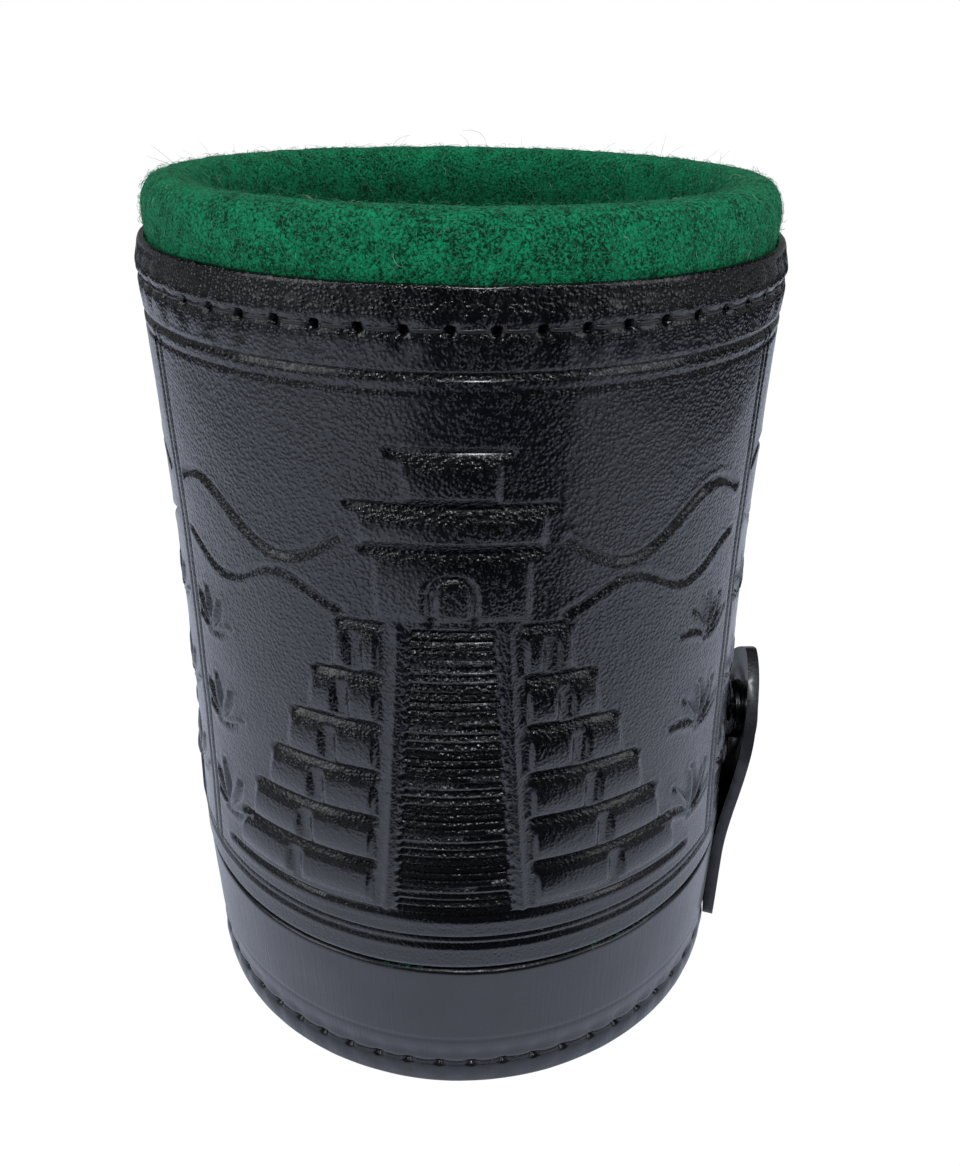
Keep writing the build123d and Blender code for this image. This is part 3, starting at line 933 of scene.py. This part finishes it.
upper_heights = 24.1 + 2.2 + (15 - 0.1 - 4.4) * (np.arange(2) + 0.5) / 2
lower_heights = 9 + 2.2 + (15 - 0.1 - 4.4) * (np.arange(2) + 0.5) / 2
hinge_upper_stitches = stitch_row("hinge_upper_stitches", hinge_places(upper_heights))
hinge_lower_stitches = stitch_row("hinge_lower_stitches", hinge_places(lower_heights))
print("hinge:", len(hinge.data.polygons), "faces")

# %% [markdown]
# The snap's cap is a pressed metal button with a rolled rim and a low dome. It is turned, so a grid is
# wrapped round an outline of its section, along X because the strap faces that way. Its tube goes through
# the strap.

# %% Snap cap
def cap_button():
    """A domed button with a rolled rim, its tube holding the socket behind the strap."""
    seat, top = 46.42, 47.86
    outline = ([(0, seat - 1.72), (2.62, seat - 1.72), (2.62, seat)] + [(5.6, seat)]
               + corner(5.55, seat + 0.42, 0.42, -90, 90, 7) + [(4.9, seat + 0.62)]
               + [(4.9 * math.cos(t), seat + 0.62 + (top - seat - 0.62) * math.sin(t))
                  for t in np.radians(np.linspace(8, 90, 12))])
    outline = np.array(outline)

    def place(column, row):
        turn = 2 * np.pi * column / 64
        radius = outline[row, 0]
        return np.stack([outline[row, 1], radius * np.cos(turn), 38 + radius * np.sin(turn)], axis=1)
    return bent_grid("snap_cap_button", 64, len(outline) - 1, place)


cap = cap_button()
print("cap:", len(cap.data.polygons), "faces")

# %% [markdown]
# Every finish is built from nodes by two small classes. The first, Value, wraps a socket, so that shader
# maths reads as plain arithmetic and each operation adds its Math node.

# %% Values that do shader maths
class Value:
    """A node's output that can be used in arithmetic."""

    def __init__(self, finish, socket):
        self.finish = finish
        self.socket = socket

    def math(self, operation, first, second):
        return self.finish.node("ShaderNodeMath", {"operation": operation}, {0: first, 1: second})

    def __add__(self, other):
        return self.math("ADD", self, other)

    def __sub__(self, other):
        return self.math("SUBTRACT", self, other)

    def __rsub__(self, other):
        return self.math("SUBTRACT", other, self)

    def __mul__(self, other):
        return self.math("MULTIPLY", self, other)

    __radd__ = __add__
    __rmul__ = __mul__

    def between(self, low, high):
        """0 at low, 1 at high, with a smooth step between them."""
        return self.finish.node("ShaderNodeMapRange", {"interpolation_type": "SMOOTHSTEP"},
                                {"Value": self, "From Min": low, "From Max": high})


print("shader arithmetic:", Value.__name__)

# %% [markdown]
# The second class, Finish, holds one material and adds any other node. The node's settings go in first,
# then the values or links of its sockets.

# %% A finish and its nodes
class Finish:
    """One material: its principled shader, and helpers that add nodes."""

    def __init__(self, name, **constants):
        self.material = bpy.data.materials.new(name)
        self.material.use_nodes = True
        self.tree = self.material.node_tree
        self.shader = self.tree.nodes["Principled BSDF"]
        self.place = self.node("ShaderNodeTexCoord", output="Object")
        self.set({key.replace("_", " "): value for key, value in constants.items()})

    def node(self, kind, settings=None, inputs=None, output=0):
        node = self.tree.nodes.new(kind)
        for key, value in (settings or {}).items():
            setattr(node, key, value)
        for key, value in (inputs or {}).items():
            self.fill(node.inputs[key], value)
        return Value(self, node.outputs[output])

    def fill(self, socket, value):
        if isinstance(value, Value):
            self.tree.links.new(value.socket, socket)
        else:
            socket.default_value = value

    def set(self, inputs):
        for key, value in inputs.items():
            self.fill(self.shader.inputs[key], value)

    def stretched(self, stretch):
        return self.node("ShaderNodeVectorMath", {"operation": "MULTIPLY"}, {0: self.place, 1: stretch})

    def clouds(self, size, detail=2.0, stretch=(1, 1, 1), rough=0.5, warp=0.0):
        """Noise whose lumps are about size mm across."""
        return self.node("ShaderNodeTexNoise", None, {
            "Vector": self.stretched(stretch), "Scale": 1000 / size, "Detail": detail,
            "Roughness": rough, "Distortion": warp})

    def cells(self, size, place=None):
        """Distance to the nearest of many scattered points, about size mm apart."""
        return self.node("ShaderNodeTexVoronoi", {"feature": "F1"}, {
            "Vector": place or self.place, "Scale": 1000 / size, "Randomness": 1.0}, "Distance")

    def wavering(self, size, reach):
        """Object coordinates pushed about by noise, so that cells lose their straight edges."""
        push = self.node("ShaderNodeTexNoise", None, {
            "Vector": self.place, "Scale": 1000 / size, "Detail": 2.0}, 1)
        push = self.node("ShaderNodeVectorMath", {"operation": "SUBTRACT"}, {0: push, 1: (0.5, 0.5, 0.5)})
        push = self.node("ShaderNodeVectorMath", {"operation": "SCALE"}, {0: push, "Scale": reach * MM})
        return self.node("ShaderNodeVectorMath", {"operation": "ADD"}, {0: self.place, 1: push})

    def height(self):
        return self.node("ShaderNodeSeparateXYZ", None, {0: self.place}, 2)

    def blend(self, share, first, second):
        """One colour turning into another."""
        return self.node("ShaderNodeMix", {"data_type": "RGBA"}, {0: share, 6: first, 7: second}, 2)

    def bump(self, height, depth):
        """Small relief of about depth mm, fed to the shader's normal."""
        self.set({"Normal": self.node("ShaderNodeBump", None, {
            "Height": height, "Distance": depth * MM, "Strength": 1.0})})


def dye(red, green, blue):
    return (red, green, blue, 1.0)


print("one part of grey dye:", dye(0.5, 0.5, 0.5))

# %% [markdown]
# All the leather is one black, glossy, finished hide, but each part shows it differently. The embossed
# wrapper has a fine pebble grain, strongest towards the mouth, with open pores. The lid is stretched
# smooth and shows faint upright streaks. So one function makes the leather and its arguments set the
# amounts.

# %% Leather
def leather(name, pebble, pore, streak, rough, tint, coat=0.3):
    finish = Finish(name, Coat_Weight=coat, Coat_Roughness=0.16, Specular_IOR_Level=0.5)
    moved = finish.wavering(1.1, 0.35)
    domes = 1 - finish.cells(0.5, moved).between(0.1, 0.75)
    patch = finish.clouds(6.0, 2.0)
    upper = finish.height().between(0.035, 0.075)
    sky = finish.height().between(0.074, 0.092)
    grain = domes * (0.3 + 0.7 * upper) * (0.6 + 0.8 * patch) * pebble
    pores = 1 - finish.cells(0.95, finish.wavering(1.8, 0.4)).between(0.11, 0.27)
    pores = pores * (0.12 + 0.88 * sky) * pore
    fine = finish.clouds(0.22, 2.0, (1, 1, 0.6))
    lines = finish.clouds(0.42, 2.0, (1, 1, 0.04), warp=0.2)
    finish.bump(1.3 * grain - 3.4 * pores + 0.4 * fine + streak * lines, 0.068)
    finish.set({"Base Color": finish.blend(finish.clouds(9.0, 3.0).between(0.3, 0.8), dye(*tint),
                                           dye(*[2.2 * part for part in tint])),
                "Roughness": rough + 0.1 * patch + 0.05 * (1 - domes) + 0.06 * pores})
    return finish.material


wrapper_leather = leather("embossed black leather", 1.0, 1.0, 0.0, 0.19, (0.0011, 0.0011, 0.0021), 0.36)
lid_leather = leather("smooth black leather", 0.12, 0.0, 0.9, 0.24, (0.0020, 0.0021, 0.0040), 0.4)
strap_leather = leather("strap leather", 0.45, 0.3, 0.15, 0.27, (0.0026, 0.0026, 0.0034))
print("leathers:", wrapper_leather.name, "/", lid_leather.name, "/", strap_leather.name)

# %% [markdown]
# The strap and the hinge show two more faces of leather. The flesh side is matt, with a short nap, and a
# cut edge is rubbed and dyed, with faint layers.

# %% Flesh side and cut edges of the leather
def flesh_side():
    """The dyed inner side: matt, with a short nap that lies in patches."""
    finish = Finish("flesh side", Roughness=0.78, Sheen_Weight=0.25, Sheen_Roughness=0.5)
    nap = finish.clouds(0.35, 4.0, (1, 1, 0.6))
    patch = finish.clouds(3.0, 3.0)
    finish.set({"Base Color": finish.blend(nap * patch + 0.1, dye(0.006, 0.006, 0.010),
                                           dye(0.020, 0.020, 0.030))})
    finish.bump(nap + 0.6 * patch, 0.16)
    return finish.material


def cut_edge():
    """A rubbed and dyed edge that shows the layers of the hide as faint lines."""
    finish = Finish("rubbed leather edge", Coat_Weight=0.35, Coat_Roughness=0.2)
    layers = finish.clouds(0.4, 3.0, (1, 1, 1))
    finish.set({"Base Color": finish.blend(layers, dye(0.006, 0.006, 0.008), dye(0.022, 0.022, 0.028)),
                "Roughness": 0.34 + 0.2 * layers})
    finish.bump(layers, 0.08)
    return finish.material


inner_side = flesh_side()
edge_finish = cut_edge()
print("strap faces:", inner_side.name, "/", edge_finish.name)

# %% [markdown]
# Green wool felt is matt and soft: sheen gives the light that its nap catches at the rim. Its colour is
# uneven, and darker in the hollows of its nap, which is painted shade; down inside the cup it is darkened
# again as painted shade. The stray fibres take the same dye and the same painted shade inside the cup, a
# few of them paler, from a tone stored on each fibre.

# %% Felt
def painted_shade_inside(finish):
    """1 down inside the cup and 0 on the rim, where the colour is darkened as painted shade for a deep cup.
    """
    reach = finish.node("ShaderNodeVectorMath", {"operation": "LENGTH"}, {0: finish.stretched((1, 1, 0))}, 1)
    depth = finish.height().between(0.03, 0.06) * (1 - finish.height().between(0.1085, 0.1185))
    return depth * (1 - reach.between(0.0342, 0.0362))


def felt():
    finish = Finish("green wool felt", Roughness=0.95, Sheen_Weight=0.14, Sheen_Roughness=0.4,
                    Sheen_Tint=dye(0.12, 0.75, 0.4), Specular_IOR_Level=0.15)
    lumps = finish.clouds(2.6, 3.0)
    nap = finish.clouds(0.32, 3.0, rough=0.6, warp=0.8)
    dark, light = dye(0.001, 0.024, 0.009), dye(0.005, 0.275, 0.115)
    # Painted shade: the colour darkens where the nap's bump is low, on top of the felt's uneven tone.
    uneven_tone_and_hollow_shade = finish.blend((0.25 * lumps + 0.85 * nap).between(0.42, 0.67), dark, light)
    # Painted shade: the felt is darkened down inside the cup.
    finish.set({"Base Color": finish.blend(0.6 * painted_shade_inside(finish), uneven_tone_and_hollow_shade, dye(0.001, 0.014, 0.006))})
    finish.bump(nap + 0.3 * lumps, 0.6)
    return finish.material


def loose_wool():
    finish = Finish("stray wool", Roughness=0.55, Sheen_Weight=0.1, Sheen_Roughness=0.5,
                    Specular_IOR_Level=0.5)
    tone = finish.node("ShaderNodeAttribute", {"attribute_name": "tone"}, None, "Fac")
    green = finish.blend(tone, dye(0.005, 0.095, 0.040), dye(0.025, 0.30, 0.14))
    pale = finish.blend(tone.between(0.98, 0.99), green, dye(0.45, 0.50, 0.30))
    # Painted shade: the stray fibres are darkened down inside the cup.
    finish.set({"Base Color": finish.blend(0.6 * painted_shade_inside(finish), pale, dye(0.001, 0.014, 0.006))})
    return finish.material


felt_finish = felt()
wool_finish = loose_wool()
print("felts:", felt_finish.name, "/", wool_finish.name)

# %% [markdown]
# Three small finishes are left: the grey board inside the walls, the waxed thread, and the black nickel
# of the snap.

# %% Board, thread and metal
def grey_board():
    finish = Finish("grey board", Roughness=0.9)
    pulp = finish.clouds(1.2, 5.0, (1, 1, 2.0))
    specks = 1 - finish.cells(2.4).between(0.05, 0.14)
    finish.set({"Base Color": finish.blend(pulp.between(0.3, 0.7) * (1 - 0.5 * specks),
                                           dye(0.10, 0.085, 0.065), dye(0.27, 0.235, 0.185))})
    finish.bump(pulp, 0.12)
    return finish.material


def waxed_thread():
    finish = Finish("black waxed thread", Coat_Weight=0.2, Coat_Roughness=0.3)
    strands = finish.clouds(0.16, 3.0)
    finish.set({"Base Color": finish.blend(strands, dye(0.0035, 0.0035, 0.004), dye(0.012, 0.012, 0.014)),
                "Roughness": 0.3 + 0.25 * strands})
    finish.bump(strands, 0.05)
    return finish.material


def nickel():
    finish = Finish("black nickel plate", Metallic=1.0)
    haze = finish.clouds(1.6, 4.0)
    rub = finish.clouds(0.25, 3.0, (1, 0.12, 1))
    finish.set({"Base Color": finish.blend(haze, dye(0.055, 0.055, 0.060), dye(0.10, 0.10, 0.105)),
                "Roughness": 0.16 + 0.14 * haze + 0.1 * rub})
    finish.bump(rub, 0.01)
    return finish.material


board_finish, thread_finish, metal_finish = grey_board(), waxed_thread(), nickel()
print("small finishes:", board_finish.name, "/", thread_finish.name, "/", metal_finish.name)

# %% [markdown]
# Each piece now gets its finish and the body it moves with. A strap shows three finishes: its grain side
# faces out, its flesh side faces in, and what lies between them is the cut edge, told apart by the
# direction of each face.

# %% Helpers for dressing
def finished(piece, material, body=None, nodes=()):
    piece.data.materials.clear()
    piece.data.materials.append(material)
    if body:
        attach(piece, body)
    if nodes:
        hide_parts(*nodes)


def three_sides(piece):
    """Grain, flesh and edge finishes on a strip that wraps the cup."""
    piece.data.materials.append(inner_side)
    piece.data.materials.append(edge_finish)
    for face in piece.data.polygons:
        middle = face.center
        outward = Vector((middle.x, middle.y, 0)).normalized().dot(face.normal)
        face.material_index = 0 if outward > 0.75 else 1 if outward < -0.75 else 2


print("three finishes share a strap when it is dressed")

# %% [markdown]
# The strap and the hinge cross a joint, so they don't ride on one body. The imported parts that stay, the
# boards and the snap's inner parts, only get new finishes.

# %% Dress the pieces
for panel in panels:
    finished(panel, wrapper_leather, "cup", ["outer_leather"])
finished(top_thread, thread_finish, "cup", ["top_seam_thread"])
finished(back_thread, thread_finish, "cup", ["back_seam_thread"])
finished(hinge_upper_stitches, thread_finish, "cup", ["hinge_upper_leaf_thread"])
finished(lining, felt_finish, "cup", ["felt_lining"])
finished(floor_pad, felt_finish, "cup", ["floor_felt"])
finished(ceiling_pad, felt_finish, "cup", ["compartment_ceiling_felt"])
finished(lid_band, lid_leather, "lid", ["lid_leather"])
finished(base_dish, lid_leather, "lid", ["base_leather"])
finished(base_thread, thread_finish, "lid", ["base_seam_thread"])
finished(strap_stitches, thread_finish, "lid", ["strap_thread"])
finished(hinge_lower_stitches, thread_finish, "lid", ["hinge_lower_leaf_thread"])
finished(dice_floor_pad, felt_finish, "lid", ["compartment_floor_felt"])
finished(dice_wall_pad, felt_finish, "lid", ["compartment_wall_felt"])
finished(cap, metal_finish, "strap", ["snap_cap"])
finished(strap, strap_leather, None, ["strap_root", "closing_strap"])
finished(hinge, strap_leather, None, ["hinge_upper_leaf", "hinge_lower_leaf"])
three_sides(strap)
three_sides(hinge)
for fuzz, body in FUZZ:
    finished(fuzz, wool_finish, body)
for node, material in [("stiffening_tube", board_finish), ("partition_board", board_finish),
                       ("lid_stiffening_ring", board_finish), ("base_board", board_finish),
                       ("snap_stud", metal_finish), ("stud_rivet", metal_finish),
                       ("snap_socket", metal_finish)]:
    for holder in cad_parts[node].material_slots:
        holder.material = material
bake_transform(strap)
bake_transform(hinge)
bpy.data.objects.remove(STITCH)

# %% [markdown]
# The cup stands on a plain pale floor under soft light. Black leather shows little but what it reflects,
# so dark cards that only the reflections see lie on the floor in front and at the sides, and stand or
# hang beyond.

# %% Floor and dark cards
def plane(name, low, high, z):
    """A flat rectangle between two corners on the floor, in metres."""
    clear_selection()
    bpy.ops.mesh.primitive_plane_add(size=1)
    sheet = bpy.context.object
    sheet.name = name
    corners = read_points(sheet) + 0.5
    across = low[0] + corners[:, 0] * (high[0] - low[0])
    back = low[1] + corners[:, 1] * (high[1] - low[1])
    write_points(sheet, np.stack([across, back, 0 * across + z], axis=1))
    return sheet


def floor_finish():
    finish = Finish("pale floor", Base_Color=dye(0.78, 0.83, 0.98), Roughness=1.0, Specular_IOR_Level=0.0)
    seen = finish.node("ShaderNodeLightPath", None, None, "Is Camera Ray")
    glow = finish.node("ShaderNodeEmission", None, {"Color": dye(1, 1, 1), "Strength": 1.04})
    both = finish.node("ShaderNodeMixShader", None, {
        0: 0.94 * seen, 1: Value(finish, finish.shader.outputs[0]), 2: glow})
    finish.tree.links.new(both.socket, finish.tree.nodes["Material Output"].inputs["Surface"])
    return finish.material


def dark_finish():
    return Finish("dark studio floor", Base_Color=dye(0.002, 0.002, 0.002), Roughness=1.0,
                  Specular_IOR_Level=0.0).material


floor = plane("floor", (-2.0, -2.0), (2.0, 2.0), 0.0)
floor.data.materials.append(floor_finish())
mat = plane("dark_studio_floor", (0, 0), (1, 1), 0.0006)
write_points(mat, [(-0.02, -0.094, 0.0006), (0.05, -0.094, 0.0006),
                   (-0.32, -1.2, 0.0006), (1.15, -1.2, 0.0006)])
flag = plane("dark_studio_wall", (0, 0), (1, 1), 0.1)
write_points(flag, [(-0.5, -1.2, 0.0), (1.15, -1.2, 0.0), (-0.5, -1.2, 0.9), (1.15, -1.2, 0.9)])
roof = plane("dark_studio_ceiling", (-2.2, -2.2), (2.2, 2.2), 0.72)
left_card = plane("dark_studio_left", (-2.0, -1.2), (-0.40, 1.2), 0.0008)
right_card = plane("dark_studio_right", (0.29, -1.2), (2.0, 1.2), 0.0010)
for card in (mat, flag, roof, left_card, right_card):
    card.data.materials.append(dark_finish())
    card.visible_camera = False
    card.visible_diffuse = False
    card.visible_transmission = False
    card.visible_shadow = False
print("dark cards: floor, wall, ceiling and both sides")

# %% [markdown]
# Two soft boxes stand at the sides, above the cup. A small bright lamp higher up in front picks out cut
# edges and stitch holes. The air itself gives the plain level, and is dimmer to reflections than to matt
# surfaces.

# %% Lamps and air
def lamp(name, place, width, height, radiance, target=(0, 0, 0.06)):
    """A rectangular lamp in metres that faces the target."""
    light = bpy.data.lights.new(name, "AREA")
    light.shape = "RECTANGLE"
    light.size, light.size_y = width, height
    light.energy = radiance * math.pi * width * height
    light.color = (0.93, 0.96, 1.0)
    holder = bpy.data.objects.new(name, light)
    bpy.context.collection.objects.link(holder)
    toward = Vector(target) - Vector(place)
    holder.matrix_world = Matrix.Translation(place) @ toward.to_track_quat("-Z", "Y").to_matrix().to_4x4()
    return holder


lamp("soft_box_left", (-0.42, -0.22, 0.40), 0.30, 0.32, 2.6)
lamp("soft_box_right", (0.46, -0.20, 0.40), 0.30, 0.32, 2.2)
lamp("edge_lamp", (0.045, -0.32, 0.60), 0.05, 0.05, 130.0, (0, 0, 0.1))

world = bpy.data.worlds.new("studio air")
bpy.context.scene.world = world
world.use_nodes = True
air = world.node_tree
path = air.nodes.new("ShaderNodeLightPath")
level = air.nodes.new("ShaderNodeMapRange")
level.inputs["To Min"].default_value = 0.62
level.inputs["To Max"].default_value = 1.0
air.links.new(path.outputs["Is Camera Ray"], level.inputs["Value"])
dimmed = air.nodes.new("ShaderNodeMath")
dimmed.operation = "MULTIPLY_ADD"
dimmed.inputs[1].default_value = -0.44
air.links.new(path.outputs["Is Glossy Ray"], dimmed.inputs[0])
air.links.new(level.outputs[0], dimmed.inputs[2])
air.links.new(dimmed.outputs[0], air.nodes["Background"].inputs["Strength"])
air.nodes["Background"].inputs["Color"].default_value = (1, 1, 1, 1)
print("studio is lit")

# %% [markdown]
# The camera looks down at the cup from close by, which is what makes the mouth look wide and the foot
# narrow.

# %% Camera
eye = bpy.data.cameras.new("camera")
eye.lens = 30.55
eye.sensor_width = 36
eye.shift_x = -0.0136
eye.shift_y = 0.0145
eye.clip_start = 0.01
eye.clip_end = 20
camera = bpy.data.objects.new("camera", eye)
bpy.context.collection.objects.link(camera)
camera.matrix_world = (Matrix.Translation((0.00482, -0.13625, 0.13223))
                       @ Matrix.Rotation(math.radians(61.35), 4, "X")
                       @ Matrix.Rotation(math.radians(0.88), 4, "Z"))
bpy.context.scene.camera = camera
bpy.context.scene.view_settings.view_transform = "Standard"
print("camera", round(camera.location.length * 1000), "mm from the cup's foot")
